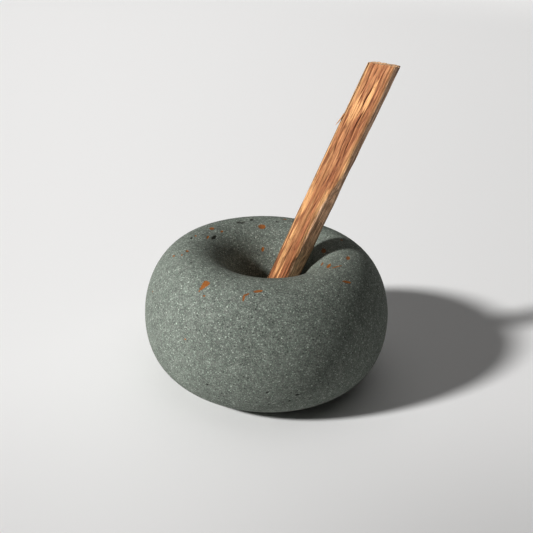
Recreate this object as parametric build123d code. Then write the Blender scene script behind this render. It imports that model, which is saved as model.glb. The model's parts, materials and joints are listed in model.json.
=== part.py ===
from build123d import *
import math
import os

os.makedirs("parts", exist_ok=True)

# Incense burner: a carved volcanic stone, and one split stick of aromatic wood that stands loose in
# its pocket and leans on the flared mouth. Millimetres. The origin is the centre of the stone's base,
# on the surface it stands on. +Z is up, and +X is the way the stick leans.

# Outside of the stone
body_radius = 40.0       # at the belly, its widest line
belly_height = 20.9      # of that line above the base
crest_rise = 23.0        # from the belly up to the highest line
crest_radius = 24.4      # of the ring that the highest line makes
base_radius = 22.0       # the flat that the stone stands on
belly_fullness = 0.615   # pull of the curve under the belly: 0.552 is an ellipse, more is squarer

# Pocket in the stone
pocket_radius = 9.3      # of its straight wall
pocket_floor = 8.4       # stone left under the pocket
pocket_round = 5.0       # between the wall and the floor
flare_depth = 19.0       # from the crest down to where the straight wall starts

# Stick
stick_length = 100.0
stick_width = 8.3        # of its front face
stick_depth = 7.8        # front to back
stick_roll = 24.5        # degrees that its front face is turned to the left about its length
stick_back_taper = 0.7   # that the back face is narrower on each side
facet_width = 2.2        # split off the front right edge, low on the stick
facet_depth = 5.6        # the same, measured into the right side
edge_break = 0.35        # what is left of that facet further up
facet_start = 52.0       # from the foot, where the facet starts to run out
facet_end = 67.0         # from the foot, where it has run out
end_slant = 15.0         # degrees that the upper end is sawn out of square
foot_chamfer = 0.5       # round the foot

# Fit
seat_gap = 0.4           # kept between the stick and the stone at each place they would touch

stone_height = belly_height + crest_rise
throat_height = stone_height - flare_depth
round_radius = pocket_radius - pocket_round    # of the flat part of the pocket's floor
round_height = pocket_floor + pocket_round


def wall_radius(height):
    """Radius of the pocket at a height above its rounded floor."""
    if height < throat_height:
        return pocket_radius
    share = min(1.0, (height - throat_height) / flare_depth)
    return crest_radius - (crest_radius - pocket_radius) * math.sqrt(1 - share ** 2)


def floor_height(radius):
    """Height of the pocket's floor at a radius, which its round lifts towards the wall."""
    into_round = min(pocket_round, max(0.0, radius - round_radius))
    return round_height - math.sqrt(pocket_round ** 2 - into_round ** 2)


def split_section(facet_across, facet_in):
    """Corners of the stick's section in its own plane: X to the right side, Y to the back."""
    half_width, half_depth = stick_width / 2, stick_depth / 2
    corners = [
        (-half_width, -half_depth),
        (half_width - facet_across, -half_depth),
        (half_width, -half_depth + facet_in),
        (half_width - stick_back_taper, half_depth),
        (-half_width + stick_back_taper, half_depth),
    ]
    roll = math.radians(-stick_roll)
    turned = []
    for across, back in corners:
        turned.append((across * math.cos(roll) - back * math.sin(roll),
                       across * math.sin(roll) + back * math.cos(roll)))
    return turned


foot_corners = split_section(facet_width, facet_depth)


def standing_height(lean, foot_x):
    """Height of the middle of the foot when its corners are just clear of the floor."""
    heights = []
    for across, back in foot_corners:
        reach = math.hypot(foot_x + across * math.cos(lean), back) + seat_gap
        heights.append(floor_height(reach) + seat_gap + across * math.sin(lean))
    return max(heights)


def wall_gap(lean, foot_x, side):
    """Least level distance between the stick's edges and the wall, on the side +1 or -1."""
    foot_z = standing_height(lean, foot_x)
    least = body_radius
    for across, back in foot_corners:
        for station in range(int(stone_height)):
            x = foot_x + across * math.cos(lean) + station * math.sin(lean)
            height = foot_z - across * math.sin(lean) + station * math.cos(lean)
            if x * side > 0 and height < stone_height:
                least = min(least, wall_radius(height) - math.hypot(x, back))
    return least


def leaning_foot(lean):
    """Level place of the foot when the stick, at this lean, just clears the right of the mouth."""
    clear, blocked = -crest_radius, crest_radius
    for halving in range(20):
        middle = (clear + blocked) / 2
        if wall_gap(lean, middle, 1) >= seat_gap:
            clear = middle
        else:
            blocked = middle
    return clear


def settled_lean():
    """The lean at which the loose stick's middle is lowest, with room for its foot on the left."""
    lowest, settled = math.inf, 0.0
    for tenth in range(0, 450, 2):
        lean = math.radians(tenth / 10)
        foot_x = leaning_foot(lean)
        middle_height = standing_height(lean, foot_x) + stick_length / 2 * math.cos(lean)
        if middle_height < lowest and wall_gap(lean, foot_x, -1) >= seat_gap:
            lowest, settled = middle_height, lean
    return settled


stick_lean = settled_lean()
stick_foot = Vector(leaning_foot(stick_lean), 0, standing_height(stick_lean, leaning_foot(stick_lean)))
stick_axis = Vector(math.sin(stick_lean), 0, math.cos(stick_lean))


def stone_body():
    """One piece of stone, turned about Z: base, belly, crest, flare and blind pocket."""
    belly = (body_radius, belly_height)
    below_belly = (body_radius, belly_height * (1 - belly_fullness))
    beside_base = (base_radius + belly_fullness * (body_radius - base_radius), 0)
    outline = [
        Line((0, 0), (base_radius, 0)),
        Bezier((base_radius, 0), beside_base, below_belly, belly),
        EllipticalCenterArc((crest_radius, belly_height), body_radius - crest_radius, crest_rise, 0,
                            arc_size=90),
        EllipticalCenterArc((crest_radius, throat_height), crest_radius - pocket_radius, flare_depth, 90,
                            arc_size=90),
        Line((pocket_radius, throat_height), (pocket_radius, round_height)),
        CenterArc((round_radius, round_height), pocket_round, 0, -90),
        Line((round_radius, pocket_floor), (0, pocket_floor)),
        Line((0, pocket_floor), (0, 0)),
    ]
    return revolve(Plane.XZ * make_face(Curve() + outline), Axis.Z, 360)


def wood_stick():
    """A split stick, made upright with its foot at the origin and then leaned into the pocket."""
    facet_stations = [
        (0, facet_width, facet_depth),
        (facet_start, facet_width, facet_depth),
        (facet_end, edge_break, edge_break),
        (stick_length, edge_break, edge_break),
    ]
    sections = []
    for station, facet_across, facet_in in facet_stations:
        outline = Polyline(*split_section(facet_across, facet_in), close=True)
        sections.append(Pos(0, 0, station) * make_face(outline))
    stick = loft(sections, ruled=True)
    stick = chamfer(stick.faces().sort_by(Axis.Z)[0].edges(), foot_chamfer)
    block = stick_length
    saw = Pos(0, 0, stick_length) * Rot(0, -end_slant, 0) * Pos(0, 0, block / 2) * Box(block, block, block)
    seat = Plane(origin=stick_foot, x_dir=(math.cos(stick_lean), 0, -math.sin(stick_lean)), z_dir=stick_axis)
    return seat * (stick - saw)


export_step(stone_body(), "parts/stone_body.step")
export_step(wood_stick(), "parts/wood_stick.step")
print("lean", round(math.degrees(stick_lean), 2), "foot", stick_foot, "axis", stick_axis)
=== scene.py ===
import json
import math

import bmesh
import bpy
import numpy as np
from mathutils import Euler, Matrix, Vector


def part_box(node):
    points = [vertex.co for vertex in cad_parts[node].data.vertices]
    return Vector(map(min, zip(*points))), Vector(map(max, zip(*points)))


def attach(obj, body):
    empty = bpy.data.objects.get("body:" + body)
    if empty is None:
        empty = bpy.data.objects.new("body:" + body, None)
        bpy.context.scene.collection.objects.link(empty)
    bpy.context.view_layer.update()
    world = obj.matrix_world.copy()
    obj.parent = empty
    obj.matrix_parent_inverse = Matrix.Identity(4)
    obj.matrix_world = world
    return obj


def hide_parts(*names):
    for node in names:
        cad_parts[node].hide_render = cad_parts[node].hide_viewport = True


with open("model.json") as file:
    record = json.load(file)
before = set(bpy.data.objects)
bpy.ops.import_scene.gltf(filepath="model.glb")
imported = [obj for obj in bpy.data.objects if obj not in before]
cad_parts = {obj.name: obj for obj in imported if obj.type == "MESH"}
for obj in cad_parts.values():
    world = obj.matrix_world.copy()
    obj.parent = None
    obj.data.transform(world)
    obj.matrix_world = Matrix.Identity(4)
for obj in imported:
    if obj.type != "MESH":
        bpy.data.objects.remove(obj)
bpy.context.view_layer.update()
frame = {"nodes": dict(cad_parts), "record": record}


# ---------------------------------------------------------------------------------------------
# Stone body: one block of grey-green volcanic stone, turned and honed to a soft ring, with a flat
# base and a blind pocket that opens as a smooth flare. Fine pale and dark grains, a few orange
# inclusions cut flush by the honing, and small open pits where gas or a soft grain left a hole.

MM = 0.001

stone_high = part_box("stone_body")[1]
body_radius = stone_high[0]
stone_height = stone_high[2]
belly_height = 20.9 * MM
crest_radius = 24.4 * MM
base_radius = 22.0 * MM
belly_fullness = 0.615
pocket_radius = 9.3 * MM
pocket_floor = 8.4 * MM
pocket_round = 5.0 * MM
flare_depth = 19.0 * MM
stone_segments = 296
stone_rings = 196
hand_unevenness = 0.35 * MM
even_base = 6.0 * MM      # the unevenness fades out below this height, so that the base stays flat
quarter = 0.5523          # Bezier handle length of a quarter ellipse


def stone_outline():
    """Half the stone's section, from the middle of the base to the middle of the pocket's floor:
    each point with the handle before it and the handle after it."""
    throat = stone_height - flare_depth
    round_top = pocket_floor + pocket_round
    round_edge = pocket_radius - pocket_round
    belly_rise = quarter * (stone_height - belly_height)
    return [
        ((0, 0), (0, 0), (base_radius / 3, 0)),
        ((base_radius, 0), (base_radius * 2 / 3, 0),
         (base_radius + belly_fullness * (body_radius - base_radius), 0)),
        ((body_radius, belly_height), (body_radius, belly_height * (1 - belly_fullness)),
         (body_radius, belly_height + belly_rise)),
        ((crest_radius, stone_height),
         (crest_radius + quarter * (body_radius - crest_radius), stone_height),
         (crest_radius - quarter * (crest_radius - pocket_radius), stone_height)),
        ((pocket_radius, throat), (pocket_radius, throat + quarter * flare_depth),
         (pocket_radius, throat - (throat - round_top) / 3)),
        ((pocket_radius, round_top), (pocket_radius, round_top + (throat - round_top) / 3),
         (pocket_radius, round_top - quarter * pocket_round)),
        ((round_edge, pocket_floor), (round_edge + quarter * pocket_round, pocket_floor),
         (round_edge * 2 / 3, pocket_floor)),
        ((0, pocket_floor), (round_edge / 3, pocket_floor), (0, pocket_floor)),
    ]


def outline_curve(name, knots):
    """A Bezier curve in the X-Z plane through an outline's points."""
    steps_between_knots = 48
    data = bpy.data.curves.new(name, "CURVE")
    data.dimensions = "3D"
    data.resolution_u = steps_between_knots
    spline = data.splines.new("BEZIER")
    spline.bezier_points.add(len(knots) - 1)
    for knot, (place, before, after) in zip(spline.bezier_points, knots):
        knot.handle_left_type = knot.handle_right_type = "FREE"
        knot.co = (place[0], 0, place[1])
        knot.handle_left = (before[0], 0, before[1])
        knot.handle_right = (after[0], 0, after[1])
    curve = bpy.data.objects.new(name, data)
    bpy.context.collection.objects.link(curve)
    return curve


class NodeTree:
    """Adds nodes to one tree. A setting is an attribute of the node, and an input is a value or a link."""

    def __init__(self, tree):
        self.tree = tree

    def add(self, kind, settings=None, inputs=None, output=0):
        node = self.tree.nodes.new(kind)
        for key, value in (settings or {}).items():
            if key == "stops":
                ramp = node.color_ramp
                while len(ramp.elements) < len(value):
                    ramp.elements.new(0.5)
                for stop, (place, colour) in zip(ramp.elements, value):
                    stop.position = place
                    stop.color = (*colour, 1)
            else:
                setattr(node, key, value)
        for key, value in (inputs or {}).items():
            if isinstance(value, Wire):
                self.tree.links.new(value.socket, node.inputs[key])
            else:
                node.inputs[key].default_value = value
        return Wire(self, node.outputs[output]) if node.outputs else node


class Wire:
    """A node's output that can be used in sums. Each operator adds one Math node."""

    def __init__(self, nodes, socket):
        self.nodes = nodes
        self.socket = socket

    def maths(self, operation, *terms):
        return self.nodes.add("ShaderNodeMath", {"operation": operation}, dict(enumerate(terms)))

    def output(self, name):
        return Wire(self.nodes, self.socket.node.outputs[name])

    def __add__(self, other):
        return self.maths("ADD", self, other)

    def __radd__(self, other):
        return self.maths("ADD", other, self)

    def __sub__(self, other):
        return self.maths("SUBTRACT", self, other)

    def __rsub__(self, other):
        return self.maths("SUBTRACT", other, self)

    def __mul__(self, other):
        return self.maths("MULTIPLY", self, other)

    def __rmul__(self, other):
        return self.maths("MULTIPLY", other, self)

    def __truediv__(self, other):
        return self.maths("DIVIDE", self, other)

    def __pow__(self, other):
        return self.maths("POWER", self, other)

    def most(self, other):
        return self.maths("MAXIMUM", self, other)

    def step(self, low, high):
        """0 below low and 1 above high, smooth between. High may be the lower of the two."""
        settings = {"interpolation_type": "SMOOTHSTEP"}
        return self.nodes.add("ShaderNodeMapRange", settings, {0: self, 1: low, 2: high})


def turning_tree():
    """Geometry nodes that turn an outline about Z, then let the surface wander as handwork does."""
    waves_per_metre = 22.0
    same_point = 1e-6
    tree = bpy.data.node_groups.new("turn_stone", "GeometryNodeTree")
    faces = tree.interface
    faces.new_socket("Outline", in_out="INPUT", socket_type="NodeSocketObject")
    faces.new_socket("Segments", in_out="INPUT", socket_type="NodeSocketInt")
    faces.new_socket("Rings", in_out="INPUT", socket_type="NodeSocketInt")
    faces.new_socket("Unevenness", in_out="INPUT", socket_type="NodeSocketFloat")
    faces.new_socket("Flat Base", in_out="INPUT", socket_type="NodeSocketFloat")
    faces.new_socket("Stone", in_out="INPUT", socket_type="NodeSocketMaterial")
    faces.new_socket("Geometry", in_out="OUTPUT", socket_type="NodeSocketGeometry")
    nodes = NodeTree(tree)
    given = nodes.add("NodeGroupInput")
    columns = given.output("Segments") + 1
    rows = given.output("Rings") + 1
    grid = nodes.add("GeometryNodeMeshGrid", inputs={0: 1.0, 1: 1.0, 2: columns, 3: rows})
    place = nodes.add("ShaderNodeSeparateXYZ", inputs={0: nodes.add("GeometryNodeInputPosition")})
    angle = (place.output("X") + 0.5) * math.tau
    outline = nodes.add("GeometryNodeObjectInfo", inputs={0: given.output("Outline")}).output("Geometry")
    sample = nodes.add("GeometryNodeSampleCurve", {"mode": "FACTOR", "use_all_curves": True},
                       {"Curves": outline, "Factor": place.output("Y") + 0.5})
    section = nodes.add("ShaderNodeSeparateXYZ", inputs={0: sample.output("Position")})
    radius, height = section.output("X"), section.output("Z")
    turned = nodes.add("ShaderNodeCombineXYZ", inputs={
        0: radius * angle.maths("COSINE", angle), 1: radius * angle.maths("SINE", angle), 2: height})
    wander = nodes.add("ShaderNodeTexNoise", {"noise_dimensions": "3D"},
                       {"Vector": turned, "Scale": waves_per_metre, "Detail": 1.0}, output="Color")
    centred = nodes.add("ShaderNodeVectorMath", {"operation": "SUBTRACT"}, {0: wander, 1: (0.5, 0.5, 0.5)})
    amount = given.output("Unevenness") * height.step(0.0, given.output("Flat Base"))
    drift = nodes.add("ShaderNodeVectorMath", {"operation": "SCALE"}, {0: centred, "Scale": amount})
    shape = nodes.add("GeometryNodeSetPosition", inputs={"Geometry": grid, "Position": turned,
                                                        "Offset": drift})
    closed = nodes.add("GeometryNodeMergeByDistance", inputs={"Geometry": shape,
                                                             "Distance": same_point})
    smooth = nodes.add("GeometryNodeSetShadeSmooth", inputs={"Geometry": closed})
    real = nodes.add("GeometryNodeRealizeInstances", inputs={"Geometry": smooth})
    finished = nodes.add("GeometryNodeSetMaterial", inputs={"Geometry": real,
                                                           "Material": given.output("Stone")})
    nodes.add("NodeGroupOutput", inputs={"Geometry": finished})
    return tree


def grown(name, tree, values):
    """A plain mesh object made by a geometry tree with these inputs."""
    holder = bpy.data.objects.new(name + "_rule", bpy.data.meshes.new(name + "_rule"))
    bpy.context.collection.objects.link(holder)
    modifier = holder.modifiers.new("rule", "NODES")
    modifier.node_group = tree
    for item in tree.interface.items_tree:
        if item.in_out == "INPUT":
            modifier[item.identifier] = values[item.name]
    bpy.context.view_layer.update()
    seen = holder.evaluated_get(bpy.context.evaluated_depsgraph_get())
    mesh = bpy.data.meshes.new_from_object(seen)
    mesh.name = name
    bpy.data.objects.remove(holder)
    piece = bpy.data.objects.new(name, mesh)
    bpy.context.collection.objects.link(piece)
    return piece


outline = outline_curve("stone_outline", stone_outline())
trace = bpy.data.meshes.new_from_object(outline)
trace_points = np.array([(v.co.x, v.co.z) for v in trace.vertices])
trace_lengths = np.concatenate([[0], np.cumsum(np.hypot(*np.diff(trace_points, axis=0).T))])
crest_length = trace_lengths[np.argmax(trace_points[:, 1])]


def on_stone(azimuth, down):
    """A place on the stone: degrees round from +X, and mm from the crest, outward or, if less than 0,
    into the mouth. Gives the point and the three directions round, down and out of the surface."""
    length = crest_length - down * MM
    short_way = 0.1 * MM
    radius, height = (np.interp(length, trace_lengths, trace_points[:, k]) for k in (0, 1))
    ahead = [np.interp(length - short_way, trace_lengths, trace_points[:, k]) for k in (0, 1)]
    cos, sin = math.cos(math.radians(azimuth)), math.sin(math.radians(azimuth))
    point = Vector((radius * cos, radius * sin, height))
    slope = Vector(((ahead[0] - radius) * cos, (ahead[0] - radius) * sin, ahead[1] - height)).normalized()
    around = Vector((-sin, cos, 0))
    return point, around, slope, around.cross(slope).normalized() * -1


# Orange inclusions: azimuth, mm down from the crest, length, width and the turn of the length from
# level, clockwise seen from outside. A wedge or hook is two or three that overlap.
inclusions = [
    (97.9, -4.9, 2.4, 2.3, 0), (144.4, -0.5, 2.1, 1.6, 14), (140.6, -3.8, 1.4, 0.8, 15),
    (160, -2.9, 2.2, 0.7, 10), (232.7, 5.5, 2.4, 1.3, 0), (232.6, 6.2, 2.2, 1.4, 0),
    (232.3, 7.1, 1.7, 1.4, 0), (232.0, 7.9, 1.1, 1.1, 0), (231.8, 8.8, 0.5, 0.6, 0), (236, 9.6, 0.9, 0.5, 0),
    (258.7, 6.0, 1.7, 0.65, 35), (257.5, 7.2, 2.6, 0.65, 92), (264.7, 4.4, 2.8, 0.95, 12),
    (348.5, 1.2, 2.6, 1.2, 0), (330, -2.8, 4.0, 1.1, 14), (330.5, -0.2, 4.2, 0.6, -24),
    (337.5, -6.4, 3.4, 0.7, 12), (10, -6.6, 3.2, 1.5, 5), (322, 6.2, 3.0, 1.0, -38),
    (190, 1.8, 1.5, 0.9, 15), (193.5, 3.7, 1.1, 0.5, 0), (189.5, 6.4, 1.2, 0.7, 30),
    (99, -13.6, 1.6, 1.0, 80), (163, 1.0, 1.3, 0.6, 15), (198, 18.6, 0.8, 0.5, 0),
    (233, 23.9, 0.7, 0.6, 0), (78, 0.5, 1.2, 0.7, 0), (20, 1.0, 1.2, 0.9, 0),
    (48, 9.0, 2.2, 1.5, 35), (44, 11.5, 1.3, 0.8, 60), (70, 22.0, 1.0, 0.7, 0), (112, 12.5, 1.8, 0.8, 15),
    (128, 6.0, 1.1, 0.9, 0), (158, 19.0, 1.2, 0.6, 45), (30, 27.0, 0.9, 0.7, 10), (8, 14.0, 1.7, 0.7, 160),
    (120, 31.0, 1.1, 0.8, 30), (300, -9.0, 1.2, 0.8, 20),
]

# Open pits: azimuth, mm down from the crest, length, width, depth and turn.
pits = [
    (114.9, -1.9, 4.4, 1.5, 0.6, -4), (105, -0.6, 2.3, 1.2, 0.45, 20), (83, -1.9, 1.9, 1.0, 0.25, 0),
    (154.7, -4.5, 3.8, 1.3, 0.5, -8), (167, 1.7, 1.9, 0.9, 0.4, 0), (208, 2.3, 1.3, 0.8, 0.35, 10),
    (245, 37.0, 1.1, 0.7, 0.45, 0), (272, 36.2, 1.1, 0.8, 0.45, 20), (285, 37.8, 1.4, 0.8, 0.5, 0),
    (282, 40.3, 1.0, 0.7, 0.45, 0), (273, 41.8, 0.8, 0.6, 0.4, 0), (60, 14.0, 1.6, 0.9, 0.5, 25),
    (92, 24.0, 1.2, 0.8, 0.45, 0), (136, 16.0, 2.0, 0.8, 0.5, 160), (22, 20.0, 1.1, 0.7, 0.4, 30),
    (175, 33.0, 1.3, 0.7, 0.45, 0), (350, 30.0, 1.0, 0.7, 0.4, 0), (40, 3.0, 1.2, 0.6, 0.4, 15),
]


def stone_finish():
    """Honed volcanic stone: a green-grey ground crowded with pale and dark grains, and inclusions."""
    material = bpy.data.materials.new("honed_volcanic_stone")
    material.use_nodes = True
    material.node_tree.nodes.clear()
    nodes = NodeTree(material.node_tree)
    place = nodes.add("ShaderNodeTexCoord", output="Object")

    def noise(scale, detail=2.0, output="Fac"):
        return nodes.add("ShaderNodeTexNoise", {"noise_dimensions": "3D"},
                         {"Vector": place, "Scale": scale, "Detail": detail}, output)

    def grains(size, seed):
        """Grains of a size in mm: a random number for each, and how far a point is from its middle."""
        moved = nodes.add("ShaderNodeVectorMath", {"operation": "ADD"}, {0: place, 1: (seed, seed, seed)})
        cell = nodes.add("ShaderNodeTexVoronoi", {"feature": "F1"}, {
            "Vector": moved, "Scale": 1 / (size * MM)})
        chance = nodes.add("ShaderNodeSeparateColor", inputs={0: cell.output("Color")})
        return chance, cell.output("Distance")

    fine = grains(0.28, 0.0)[0]
    coarse, coarse_edge = grains(0.46, 0.31)
    crystal, crystal_edge = grains(0.95, 0.57)
    pale_grain = coarse.step(0.84, 0.97) * coarse_edge.step(0.62, 0.38)
    dark_grain = coarse.step(0.10, 0.03) * coarse_edge.step(0.66, 0.40)
    big_pale = crystal.step(0.955, 0.975) * crystal_edge.step(0.36, 0.22)
    mottle = noise(420.0, 3.0) - 0.5
    cloud = noise(60.0, 3.0) - 0.5
    tone = 0.76 + (fine ** 2.4) * 0.82 + mottle * 0.6 + cloud * 0.34
    tone = tone + pale_grain * 0.95 - dark_grain * 0.40 + big_pale * 1.1
    tone = tone.most(0.16)
    hue = nodes.add("ShaderNodeMix", {"data_type": "RGBA"}, {
        0: fine.output("Green"), 6: (0.172, 0.203, 0.173, 1), 7: (0.198, 0.208, 0.188, 1)}, output=2)
    ground = nodes.add("ShaderNodeVectorMath", {"operation": "SCALE"}, {0: hue, "Scale": tone})

    nearness = nodes.add("ShaderNodeAttribute", {"attribute_name": "inclusion"}, output="Fac")
    ragged = nearness + (noise(1500.0, 2.0) - 0.5) * 0.28
    inside = ragged.step(0.46, 0.56)
    margin = ragged.step(0.26, 0.40)
    rust = nodes.add("ShaderNodeMix", {"data_type": "RGBA"}, {
        0: noise(160.0, 1.0).step(0.35, 0.65), 6: (0.33, 0.125, 0.022, 1),
        7: (0.25, 0.105, 0.038, 1)}, output=2)
    rust = nodes.add("ShaderNodeVectorMath", {"operation": "SCALE"}, {0: rust, "Scale": 0.75 + fine * 0.4})
    colour = nodes.add("ShaderNodeMix", {"data_type": "RGBA"}, {
        0: inside * 0.97, 6: ground, 7: rust}, output=2)
    # Painted shade: each pit's colour is darkened towards a near-black grey, as the shade that falls into
    # the hollow.
    pit = nodes.add("ShaderNodeAttribute", {"attribute_name": "pit"}, output="Fac")
    colour = nodes.add("ShaderNodeMix", {"data_type": "RGBA"}, {
        0: pit * 0.7, 6: colour, 7: (0.05, 0.052, 0.045, 1)}, output=2)

    relief = (fine * 0.5 + coarse * 0.5 + mottle * 0.6) * (1 - inside * 0.7) - (margin - inside) * 0.35
    bump = nodes.add("ShaderNodeBump", inputs={"Height": relief, "Strength": 0.45, "Distance": 0.08 * MM})
    shader = nodes.add("ShaderNodeBsdfPrincipled", inputs={
        "Base Color": colour, "Roughness": 0.80 - pale_grain * 0.12 - inside * 0.08, "Normal": bump,
        "Specular IOR Level": 0.35})
    nodes.add("ShaderNodeOutputMaterial", inputs={"Surface": shader})
    return material


def lying(azimuth, down, length, width, turn):
    """A flat ellipse on the stone: its middle, its two half-axes as directions over lengths, and out."""
    point, around, slope, out = on_stone(azimuth, down)
    lean = math.radians(turn)
    along = around * -math.cos(lean) + slope * math.sin(lean)
    return point, along / (length / 2 * MM), out.cross(along) / (width / 2 * MM), out


def carve(piece):
    """Divides the faces round each inclusion and pit, marks them, and sinks them a little: a pit has
    a rough floor and a worn rim, and an inclusion is honed a hair below the harder ground."""
    shortest, margin, honed_below = 1.2, 0.4, 0.06
    mesh = bmesh.new()
    mesh.from_mesh(piece.data)
    spots = [(lying(*spot), max(spot[2], shortest), 0.0) for spot in inclusions]
    spots += [(lying(*pit[:4], pit[5]), pit[2], pit[4]) for pit in pits]
    for cuts in (1, 2):
        chosen = set()
        for (point, along, across, out), length, depth in spots:
            reach = (length / 2 + margin) * MM
            for face in mesh.faces:
                if (face.calc_center_median() - point).length < reach:
                    chosen.update(face.edges)
        in_order = [edge for edge in mesh.edges if edge in chosen]
        bmesh.ops.subdivide_edges(mesh, edges=in_order, cuts=cuts, use_grid_fill=True)
    # The pit mark tells the finish where to paint shade into each pit.
    pit_shade_mark = mesh.verts.layers.float.new("pit")
    inclusion_mark = mesh.verts.layers.float.new("inclusion")
    random = np.random.RandomState(5)
    for (point, along, across, out), length, depth in spots:
        waves = random.uniform(0, math.tau, 3)
        roughness = 1.0 if depth else 0.4
        for vertex in mesh.verts:
            offset = vertex.co - point
            if offset.length > length * 1.6 * MM:
                continue
            u, v = offset.dot(along), offset.dot(across)
            direction = math.atan2(v, u)
            ragged = 0.16 * math.sin(2 * direction + waves[0]) + 0.10 * math.sin(5 * direction + waves[1])
            share = math.hypot(u, v) / (1 + roughness * ragged)
            bowl = (1 - min(1.0, share) ** 3) ** 1.5
            if depth:
                vertex.co -= out * (depth * MM * bowl * (1 + 0.15 * math.sin(9 * u + waves[2])))
                vertex[pit_shade_mark] = max(vertex[pit_shade_mark], min(1.0, bowl * 1.4))
            else:
                vertex.co -= out * (honed_below * MM * bowl)
                vertex[inclusion_mark] = max(vertex[inclusion_mark], 1.5 - share)
    for face in mesh.faces:
        face.smooth = True
    mesh.to_mesh(piece.data)
    mesh.free()


stone = grown("stone", turning_tree(), {
    "Outline": outline, "Segments": stone_segments, "Rings": stone_rings,
    "Unevenness": hand_unevenness, "Flat Base": even_base, "Stone": stone_finish()})
carve(stone)
bpy.data.objects.remove(outline)
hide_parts("stone_body")
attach(stone, "burner")


# ---------------------------------------------------------------------------------------------
# Wood stick: split from an aromatic log with a blade, so its four faces follow the grain, with
# raised fibres, torn steps and drying cracks. The low front right edge is split off as a facet,
# a splinter has lifted on the left, and only the two ends are sawn. It stands loose in the pocket.

stick_length = 100.0
stick_width = 8.3
stick_depth = 7.8
stick_roll = 24.5
stick_back_taper = 0.7
facet_width, facet_depth = 2.2, 5.6
edge_break = 0.35
facet_start, facet_end = 52.0, 67.0
facet_jog, facet_least = 0.25, 0.15
section_wander = 0.016    # of the section's size, at each corner
end_slant = 15.0          # degrees, up to the right
end_back_fall = 0.13      # rise of the sawn end towards the front, as a slope
end_tear, end_below = 0.16, 0.2
chip_depth = 1.3
arris_wear, arris_reach = 0.30, 0.42
foot_ease, foot_reach = 0.45, 0.45
splinter_root, splinter_length = 82.2, 4.2
splinter_bed, splinter_lift, splinter_thickness = 0.20, 0.95, 0.40
rings_along = 330
points_around = 264
cap_rings = 13

stick_axis = Vector(frame["record"]["behaviour"]["joints"][0]["axis"]).normalized()
stick_side = Vector((stick_axis.z, 0, -stick_axis.x))
stick_back = Vector((0, 1, 0))


def split_corners(facet_across, facet_in):
    """Corners of the stick's section in mm, X to its right side and Y to its back."""
    half_width, half_depth = stick_width / 2, stick_depth / 2
    corners = np.array([
        (-half_width, -half_depth), (half_width - facet_across, -half_depth),
        (half_width, -half_depth + facet_in), (half_width - stick_back_taper, half_depth),
        (-half_width + stick_back_taper, half_depth)])
    turn = math.radians(stick_roll)
    return corners @ np.array([(math.cos(turn), -math.sin(turn)), (math.sin(turn), math.cos(turn))])


def stick_foot():
    """Where the middle of the foot stands, from the CAD stick's own corners."""
    points = [v.co for v in frame["nodes"]["wood_stick"].data.vertices]
    left = min(p.dot(stick_side) for p in points) - split_corners(facet_width, facet_depth)[:, 0].min() * MM
    low = min(p.dot(stick_axis) for p in points)
    return stick_side * left + stick_axis * low


def lattice_noise(around, along, cells_around, cell_length, seed):
    """Smooth random waves from -1 to 1 on the stick's skin. They close on themselves around it."""
    cells_along = int(stick_length * 1.2 / cell_length) + 3
    table = np.random.RandomState(seed).uniform(-1, 1, (cells_around, cells_along))
    u = around * cells_around
    v = np.clip(along / cell_length, 0, cells_along - 2.001)
    i, j = np.floor(u).astype(int), np.floor(v).astype(int)
    fu, fv = u - i, v - j
    fu, fv = fu * fu * (3 - 2 * fu), fv * fv * (3 - 2 * fv)
    i0, i1 = i % cells_around, (i + 1) % cells_around
    return (table[i0, j] * (1 - fu) * (1 - fv) + table[i1, j] * fu * (1 - fv)
            + table[i0, j + 1] * (1 - fu) * fv + table[i1, j + 1] * fu * fv)


def smooth_step(value, low, high):
    share = np.clip((value - low) / (high - low), 0, 1)
    return share * share * (3 - 2 * share)


def section_at(station, around):
    """The section at a station, its corners wandering a little: each point, which way it faces, how far
    it is from the nearest arris, and its side, counted from the front one."""
    run_out = smooth_step(station, facet_start, facet_end)
    wander = lattice_noise(np.array([0.1, 0.3, 0.5, 0.7, 0.9]), np.full(5, station), 5, 9.0, 11)
    jog = facet_jog * lattice_noise(np.array([0.2]), np.array([station]), 3, 4.0, 12)[0]
    across = facet_width + (edge_break - facet_width) * run_out + jog
    inward = facet_depth + (edge_break - facet_depth) * run_out + jog * 0.5
    corners = split_corners(max(across, facet_least), max(inward, facet_least))
    corners = corners * (1 + section_wander * wander[:, None])
    sides = np.roll(corners, -1, axis=0) - corners
    lengths = np.hypot(sides[:, 0], sides[:, 1])
    starts = np.concatenate([[0], np.cumsum(lengths)])
    reach = around * starts[-1]
    side = np.clip(np.searchsorted(starts, reach, side="right") - 1, 0, 4)
    share = (reach - starts[side]) / lengths[side]
    points = corners[side] + sides[side] * share[:, None]
    edge = np.minimum(share, 1 - share) * lengths[side]
    normals = np.stack([sides[side][:, 1], -sides[side][:, 0]], 1) / lengths[side][:, None]
    return points, normals, edge, side


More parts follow.
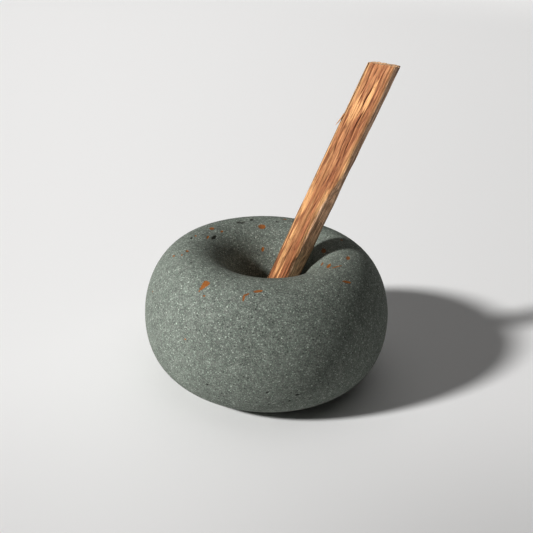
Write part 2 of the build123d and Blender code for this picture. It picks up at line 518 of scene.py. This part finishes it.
# Drying cracks and torn steps on the front face: mm across from its middle, middle in mm from the
# foot, length, half-width and depth. The fibres close a crack's ends and bridge some of its depth.
crack_reach, crack_depth_open = 0.6, 0.6
cracks = [
    (-1.9, 92.8, 8.0, 0.13, 0.55), (0.2, 88.4, 11.0, 0.14, 0.65), (0.9, 81.8, 9.5, 0.13, 0.55),
    (1.2, 74.0, 10.0, 0.12, 0.45), (-0.3, 74.5, 10.0, 0.11, 0.35), (-1.9, 71.8, 4.0, 0.10, 0.30),
    (-0.1, 52.5, 5.5, 0.13, 0.35), (-1.4, 88.6, 4.0, 0.12, 0.40), (-0.5, 62.0, 6.0, 0.10, 0.28),
    (0.5, 64.0, 6.0, 0.10, 0.25), (-0.6, 97.3, 3.0, 0.10, 0.30), (1.7, 96.8, 3.5, 0.11, 0.30),
    (2.4, 84.0, 6.0, 0.10, 0.25), (-2.6, 60.0, 7.0, 0.09, 0.22), (0.9, 44.0, 8.0, 0.10, 0.25),
    (-1.0, 36.0, 8.0, 0.10, 0.25), (2.2, 78.0, 5.0, 0.09, 0.22), (-2.8, 80.0, 6.0, 0.09, 0.20),
]

# Pale golden sapwood left on the front face: mm across, mm from the foot, half-width, half-length
# and strength. The two entries at -4.1 mm lie on the lit left edge and are made strong, so that there they
# are partly sapwood and partly a painted highlight.
golden = [
    (-2.5, 36.0, 0.55, 11.0, 1.0), (-2.9, 53.0, 0.95, 7.0, 0.95), (-3.9, 44.0, 0.5, 14.0, 0.7),
    (-4.1, 68.0, 0.60, 20.0, 1.2), (-1.7, 84.6, 1.2, 5.0, 0.9), (-0.2, 85.3, 0.7, 3.0, 0.9),
    (1.0, 90.0, 0.9, 5.6, 0.95), (1.8, 54.5, 0.75, 5.4, 1.0), (3.6, 68.0, 0.65, 10.5, 1.0),
    (-4.1, 93.0, 0.85, 10.5, 1.6), (1.6, 43.0, 0.5, 9.0, 0.75), (3.7, 84.0, 0.4, 8.0, 0.5),
    (-1.0, 20.0, 0.6, 12.0, 0.7), (-2.0, 96.5, 0.6, 3.0, 0.5),
]


def slow_sway(station):
    """How far the grain leans across the front at a station, which the cracks follow."""
    return 0.28 * np.sin(station * 0.21 + 0.6)


def split_ring(stations, around):
    """One ring of the split skin: the section at these stations, how far its fibres and cracks lift or
    sink each point in mm, and the sapwood marks and the crack marks where the finish paints shade."""
    points, normals, edge, side = section_at(float(stations.mean()), around)
    # Each layer of fibres: its height in mm, waves round the stick, mm along for each wave, and seed.
    broad = 0.20 * lattice_noise(around, stations, 11, 30.0, 21)
    ridge = 0.12 * (1 - 2 * np.abs(lattice_noise(around, stations, 30, 15.0, 22)))
    fibre = 0.065 * lattice_noise(around, stations, 90, 7.0, 23)
    hair = 0.028 * lattice_noise(around, stations, 130, 3.5, 24)
    lift = broad + ridge + fibre + hair
    front = side == 0
    turn = math.radians(stick_roll)
    across_front = points[:, 0] * math.cos(turn) - points[:, 1] * math.sin(turn)
    wander = slow_sway(stations) + 0.10 * np.sin(stations * 0.83)
    fissure, gold = np.zeros(points_around), np.zeros(points_around)
    for place, middle, length, half_width, depth in cracks:
        off = np.abs(across_front - place - wander + slow_sway(middle))
        ends = np.clip(1 - ((stations - middle) / (length * crack_reach)) ** 2, 0, 1)
        cleft = ends * front * np.exp(-(off / half_width) ** 2)
        lift = lift - crack_depth_open * depth * cleft
        fissure = np.maximum(fissure, cleft)
    for place, middle, half_width, half_length, strength in golden:
        reach = np.hypot((across_front - place) / half_width, (stations - middle) / half_length)
        gold = np.maximum(gold, strength * np.clip(1.5 - reach, 0, 1) * front)
    return points, normals, edge, side, lift, {"gold": gold, "fissure": fissure}


def stick_mesh():
    """The stick's skin ring by ring, with its fibres, cracks, chipped slanted end and square foot."""
    around = (np.arange(points_around) + 0.5) / points_around
    top_points = section_at(stick_length, around)[0]
    slant = math.tan(math.radians(end_slant))
    chip = chip_depth * smooth_step(top_points[:, 0], 2.6, 4.9) * smooth_step(top_points[:, 1], 3.4, -1.5)
    tear = end_tear * lattice_noise(around, np.zeros(points_around), 60, 9.0, 3)
    tilt = top_points[:, 0] * slant - top_points[:, 1] * end_back_fall
    tops = stick_length + tilt - chip + tear - end_below
    rows = []
    marks = {name: [] for name in ("end", "arris", "gold", "fissure", "side")}
    for t in np.linspace(0, 1, rings_along):
        stations = tops * t
        points, normals, edge, side, lift, ring_marks = split_ring(stations, around)
        near_end = smooth_step(tops - stations, 2.6, 1.2)
        # Painted shadow: the broken corner below the sawn end is marked for the same painted shade as the
        # cracks.
        broken = 0.9 * smooth_step(points[:, 0], 2.6, 4.0) * near_end * (side > 0)
        ring_marks["fissure"] = np.maximum(ring_marks["fissure"], broken)
        ring_marks["end"] = np.zeros(points_around)
        # The arris mark: how near a point is to an edge, which the finish uses for the painted edge
        # highlight.
        ring_marks["arris"] = np.exp(-(edge / 0.55) ** 2)
        # Side mark: 0 on the front face, 1 on the low facet, which the finish paints lighter as painted fill
        # light, and 0.6 on the other split sides.
        ring_marks["side"] = np.where(side == 0, 0.0, np.where(side == 1, 1.0, 0.6))
        for name, values in ring_marks.items():
            marks[name].append(values)
        lift = lift - arris_wear * np.exp(-(edge / arris_reach) ** 2)
        kept = 1 - 0.6 * smooth_step(0.25 - stations, -0.4, 0.25)
        points = points + normals * (lift * kept)[:, None]
        ease = foot_ease * (1 - smooth_step(stations, 0, foot_reach))
        points = points * (1 - ease[:, None] / np.hypot(points[:, 0], points[:, 1])[:, None])
        rows.append(np.column_stack([points, stations]))
    for row, sign in ((rows[-1].copy(), 1), (rows[0].copy(), -1)):
        cap = []
        middle = row.mean(axis=0)
        for step in range(1, cap_rings + 1):
            shrunk = middle + (row - middle) * (1 - step / (cap_rings + 1))
            bumps = lattice_noise(around, np.full(points_around, step * 2.0), 48, 2.0, 40)
            shrunk[:, 2] += sign * 0.10 * bumps * min(1, step / 2)
            cap.append(shrunk)
        rows = rows + cap if sign > 0 else cap[::-1] + rows
        for name, values in marks.items():
            on_cap = [np.full(points_around, float(name == "end"))] * cap_rings
            marks[name] = values + on_cap if sign > 0 else on_cap + values
    grid = np.array(rows)
    count = len(grid)
    poles = [grid[0].mean(axis=0).tolist(), grid[-1].mean(axis=0).tolist()]
    vertices = grid.reshape(-1, 3).tolist() + poles
    faces = []
    for j in range(count - 1):
        for i in range(points_around):
            k = (i + 1) % points_around
            faces.append((j * points_around + i, j * points_around + k,
                          (j + 1) * points_around + k, (j + 1) * points_around + i))
    low, high = count * points_around, count * points_around + 1
    for i in range(points_around):
        k = (i + 1) % points_around
        faces.append((low, k, i))
        faces.append((high, (count - 1) * points_around + i, (count - 1) * points_around + k))
    shares = {name: np.concatenate(values + [[float(name == "end")] * 2]) for name, values in marks.items()}
    return vertices, faces, shares


def splinter_mesh(first):
    """A thin sliver still held at its upper root on the left edge, its free tip lifted downwards."""
    corner = section_at(80.0, np.array([0.001]))[0][0]
    vertices, faces = [], []
    steps, sides = 10, 8
    for j in range(steps + 1):
        share = j / steps
        station = splinter_root - splinter_length * share
        out = -splinter_bed + splinter_lift * share ** 1.4
        thick = splinter_thickness * (1 - share) ** 0.5 + 0.03
        for i in range(sides):
            angle = math.tau * i / sides
            vertices.append([corner[0] - out + 0.55 * thick * math.cos(angle),
                             corner[1] + 0.25 + thick * math.sin(angle), station])
    for j in range(steps):
        for i in range(sides):
            k = (i + 1) % sides
            faces.append((first + j * sides + i, first + (j + 1) * sides + i,
                          first + (j + 1) * sides + k, first + j * sides + k))
    faces.append(tuple(first + i for i in range(sides)))
    faces.append(tuple(first + steps * sides + i for i in reversed(range(sides))))
    return vertices, faces


def wood_finish():
    """Split resinous wood: red-brown heart with golden streaks along the grain, painted shade in the
    fissures, a painted highlight along the edges and painted fill light on the low facet.
    """
    material = bpy.data.materials.new("split_aromatic_wood")
    material.use_nodes = True
    material.node_tree.nodes.clear()
    nodes = NodeTree(material.node_tree)
    lean = math.atan2(stick_axis.x, stick_axis.z)
    upright = nodes.add("ShaderNodeMapping", {"vector_type": "TEXTURE"}, {
        "Vector": nodes.add("ShaderNodeTexCoord", output="Object"),
        "Location": stick_foot(), "Rotation": (0, lean, 0), "Scale": (MM, MM, MM)})

    def along_grain(stretch, scale, detail=2.0, seed=0.0, distortion=0.0):
        """Noise drawn out along the stick: scale is per mm across, stretch is how much longer."""
        pulled = nodes.add("ShaderNodeMapping", inputs={
            "Vector": upright, "Location": (seed, seed, seed), "Scale": (1, 1, 1 / stretch)})
        return nodes.add("ShaderNodeTexNoise", {"noise_dimensions": "3D"}, {
            "Vector": pulled, "Scale": scale, "Detail": detail, "Distortion": distortion})

    bands = along_grain(20, 0.55, 3.0, 0.0, 0.5)
    streaks = along_grain(17, 1.5, 3.0, 7.0, 0.6)
    fibres = along_grain(20, 4.2, 3.0, 3.0, 0.3)
    hairs = along_grain(14, 9.0, 2.0, 5.0)
    flecks = along_grain(8, 2.3, 2.0, 13.0, 0.4)
    wave = along_grain(15, 1.5, 2.0, 11.0, 0.6) - 0.5
    dark_lines = wave.maths("ABSOLUTE", wave).step(0.030, 0.0) * bands.step(0.62, 0.42)
    blend = bands * 0.55 + streaks * 0.65 + (fibres - 0.5) * 0.35 - 0.10
    colour = nodes.add("ShaderNodeValToRGB", {"stops": [
        (0.30, (0.29, 0.112, 0.050)), (0.42, (0.36, 0.152, 0.070)), (0.52, (0.42, 0.198, 0.092)),
        (0.62, (0.49, 0.252, 0.120)), (0.76, (0.60, 0.345, 0.175))]}, {0: blend})
    gold = nodes.add("ShaderNodeAttribute", {"attribute_name": "gold"}, output="Fac")
    pale = (gold + (fibres - 0.5) * 0.7 + (streaks - 0.5) * 0.9).step(0.30, 0.85)
    colour = nodes.add("ShaderNodeMix", {"data_type": "RGBA"}, {
        0: pale * 0.9, 6: colour, 7: (0.73, 0.425, 0.205, 1)}, output=2)
    # Painted highlight: every arris is painted paler, as the light caught by a rounded edge; where sapwood
    # reaches the edge the pale gold is stronger, partly the sapwood's own colour.
    arris = nodes.add("ShaderNodeAttribute", {"attribute_name": "arris"}, output="Fac")
    colour = nodes.add("ShaderNodeMix", {"data_type": "RGBA"}, {
        0: arris * (gold.step(0.5, 1.3) * 0.6 + 0.22), 6: colour, 7: (0.80, 0.52, 0.27, 1)}, output=2)
    # The split sides take a paler, fibred tan wood, scaled by 0.9; on the low facet the tan is scaled by 1.4
    # instead, painted fill light standing in for the light that reaches it.
    side = nodes.add("ShaderNodeAttribute", {"attribute_name": "side"}, output="Fac")
    tan = nodes.add("ShaderNodeMix", {"data_type": "RGBA"}, {
        0: (fibres * 0.6 + streaks * 0.4).step(0.42, 0.60), 6: (0.40, 0.24, 0.145, 1),
        7: (0.78, 0.55, 0.38, 1)}, output=2)
    tan = nodes.add("ShaderNodeVectorMath", {"operation": "SCALE"}, {
        0: tan, "Scale": side.step(0.6, 1.0) * 0.5 + 0.9})
    colour = nodes.add("ShaderNodeMix", {"data_type": "RGBA"}, {
        0: side.step(0.0, 0.6) * 0.85, 6: colour, 7: tan}, output=2)
    # Painted shade: the cracks, and the broken corner by the sawn end, are darkened towards near black, as
    # the shade that falls into them.
    fissure = nodes.add("ShaderNodeAttribute", {"attribute_name": "fissure"}, output="Fac")
    dark = (dark_lines * 0.45).most(fibres.step(0.39, 0.28) * 0.46)
    dark = dark.most(flecks.step(0.42, 0.31) * 0.36).most(fissure * 0.85)
    colour = nodes.add("ShaderNodeMix", {"data_type": "RGBA"}, {
        0: dark, 6: colour, 7: (0.12, 0.040, 0.018, 1)}, output=2)
    ends = nodes.add("ShaderNodeAttribute", {"attribute_name": "end"}, output="Fac")
    rings = nodes.add("ShaderNodeTexNoise", {"noise_dimensions": "3D"}, {
        "Vector": upright, "Scale": 2.2, "Detail": 4.0})
    end_colour = nodes.add("ShaderNodeMix", {"data_type": "RGBA"}, {
        0: rings.step(0.35, 0.65), 6: (0.60, 0.36, 0.21, 1), 7: (0.90, 0.64, 0.41, 1)}, output=2)
    colour = nodes.add("ShaderNodeMix", {"data_type": "RGBA"}, {
        0: ends, 6: colour, 7: end_colour}, output=2)
    shade = 0.26 + flecks * 0.60 + fibres * 0.50 + hairs * 0.48
    colour = nodes.add("ShaderNodeVectorMath", {"operation": "SCALE"}, {0: colour, "Scale": shade})
    height = streaks * 0.5 + fibres * 0.8 + hairs * 0.55 - dark_lines * 0.6
    bump = nodes.add("ShaderNodeBump", inputs={"Height": height, "Strength": 0.6, "Distance": 0.18 * MM})
    shader = nodes.add("ShaderNodeBsdfPrincipled", inputs={
        "Base Color": colour, "Roughness": 0.70 - streaks * 0.20, "Normal": bump,
        "Specular IOR Level": 0.4})
    nodes.add("ShaderNodeOutputMaterial", inputs={"Surface": shader})
    return material


vertices, faces, stick_marks = stick_mesh()
splinter_vertices, splinter_faces = splinter_mesh(len(vertices))
foot = stick_foot()
world_vertices = [foot + stick_side * (v[0] * MM) + stick_back * (v[1] * MM) + stick_axis * (v[2] * MM)
                  for v in vertices + splinter_vertices]
stick_data = bpy.data.meshes.new("stick")
stick_data.from_pydata(world_vertices, [], faces + splinter_faces)
stick_data.polygons.foreach_set("use_smooth", [True] * len(stick_data.polygons))
# The splinter takes most of the painted edge highlight and a little sapwood.
splinter_marks = {"end": 0.0, "arris": 0.8, "gold": 0.3, "fissure": 0.0, "side": 0.0}
for name, values in stick_marks.items():
    on_splinter = np.full(len(splinter_vertices), splinter_marks[name])
    attribute = stick_data.attributes.new(name, "FLOAT", "POINT")
    attribute.data.foreach_set("value", np.concatenate([values, on_splinter]))
stick_data.materials.append(wood_finish())
stick_data.update()
stick = bpy.data.objects.new("stick", stick_data)
bpy.context.collection.objects.link(stick)
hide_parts("wood_stick")
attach(stick, "stick")


# ---------------------------------------------------------------------------------------------
# Studio: a pale matt table top out to the horizon, a key lamp from the front left like a low sun with
# a soft edge, a broad weak fill from above the back, faint room light and a pale backdrop. The
# table's colour carries painted shade: it falls off a little towards the right and towards the front
# edge, round the burner only, standing in for a lamp's uneven fall-off.
# The camera looks down on the burner from the front.

floor_half = 12.0
picture_gamma = 0.80      # the picture's tone curve, which the table's colour allows for
table_tone, right_fall, front_fall, corner_fall = 0.817, 0.144, 0.159, 0.09
fan_middle = -0.245       # the fall to the right spreads as a fan from this place in front

floor_data = bpy.data.meshes.new("floor")
floor_data.from_pydata([(-floor_half, -floor_half, 0), (floor_half, -floor_half, 0),
                        (floor_half, floor_half, 0), (-floor_half, floor_half, 0)], [], [(0, 1, 2, 3)])
floor_paint = bpy.data.materials.new("pale_table")
floor_paint.use_nodes = True
floor_paint.node_tree.nodes.clear()
floor_nodes = NodeTree(floor_paint.node_tree)
spot = floor_nodes.add("ShaderNodeSeparateXYZ", inputs={
    0: floor_nodes.add("ShaderNodeTexCoord", output="Object")})
right, back = spot.output("X"), spot.output("Y")
# Painted shade: the table's colour is darkened towards the right, spreading as a fan, and towards the front
# edge, round the burner only, standing in for a lamp's uneven fall-off.
distance = (right * right + back * back) ** 0.5
fan = right / (back - fan_middle).most(0.08)
right_painted_shade = fan.step(-0.3, 0.5) * distance.step(1.1, 0.7) * back.step(-0.35, -0.14)
front_painted_shade = back.step(0.0, -0.13) * distance.step(0.40, 0.18)
painted_shade = right_painted_shade * right_fall + front_painted_shade * front_fall + right_painted_shade * front_painted_shade * corner_fall
floor_tone = table_tone - painted_shade
floor_colour = floor_nodes.add("ShaderNodeVectorMath", {"operation": "SCALE"}, {
    0: (1.0, 0.995, 0.99), "Scale": (floor_tone ** picture_gamma) * 1.02})
floor_shader = floor_nodes.add("ShaderNodeBsdfPrincipled", inputs={
    "Base Color": floor_colour, "Roughness": 0.9, "Specular IOR Level": 0.2})
floor_nodes.add("ShaderNodeOutputMaterial", inputs={"Surface": floor_shader})
floor_data.materials.append(floor_paint)
floor = bpy.data.objects.new("floor", floor_data)
bpy.context.collection.objects.link(floor)

key_azimuth, key_height = math.radians(204.8), math.radians(31.2)
key_from = Vector((math.cos(key_height) * math.cos(key_azimuth),
                   math.cos(key_height) * math.sin(key_azimuth), math.sin(key_height)))
key_lamp = bpy.data.lights.new("key", "SUN")
key_lamp.angle = math.radians(6.9)
key_lamp.energy = 4.55
key = bpy.data.objects.new("key", key_lamp)
key.matrix_world = key_from.to_track_quat("Z", "Y").to_matrix().to_4x4()
bpy.context.collection.objects.link(key)

fill_lamp = bpy.data.lights.new("overhead_fill", "AREA")
fill_lamp.size = 2.4
fill_lamp.energy = 9.5
fill = bpy.data.objects.new("overhead_fill", fill_lamp)
fill_from = Vector((0.25, 0.5, 1.6))
fill_turn = fill_from.to_track_quat("Z", "Y").to_matrix().to_4x4()
fill.matrix_world = Matrix.Translation(fill_from) @ fill_turn
bpy.context.collection.objects.link(fill)

room = bpy.data.worlds.new("room")
room.use_nodes = True
room.node_tree.nodes.clear()
room_nodes = NodeTree(room.node_tree)
faint = room_nodes.add("ShaderNodeBackground", inputs={
    "Color": (1.0, 0.97, 0.93, 1), "Strength": 0.055})
backdrop = room_nodes.add("ShaderNodeBackground", inputs={
    "Color": (1.0, 0.995, 0.99, 1), "Strength": 0.86})
seen = room_nodes.add("ShaderNodeLightPath", output="Is Camera Ray")
room_nodes.add("ShaderNodeOutputWorld", inputs={
    "Surface": room_nodes.add("ShaderNodeMixShader", inputs={0: seen, 1: faint, 2: backdrop})})
bpy.context.scene.world = room
bpy.context.scene.view_settings.view_transform = "Standard"
bpy.context.scene.view_settings.gamma = picture_gamma

camera_data = bpy.data.cameras.new("camera")
camera_data.lens = 56.7
camera_data.sensor_width = 36.0
camera = bpy.data.objects.new("camera", camera_data)
camera_pitch, camera_yaw, camera_roll = math.radians(25.99), math.radians(0.126), math.radians(2.2)
camera.matrix_world = (Matrix.Translation((0, -0.24495, 0.15665))
                       @ Euler((math.pi / 2 - camera_pitch, 0, camera_yaw)).to_matrix().to_4x4()
                       @ Matrix.Rotation(camera_roll, 4, "Z"))
bpy.context.collection.objects.link(camera)
bpy.context.scene.camera = camera
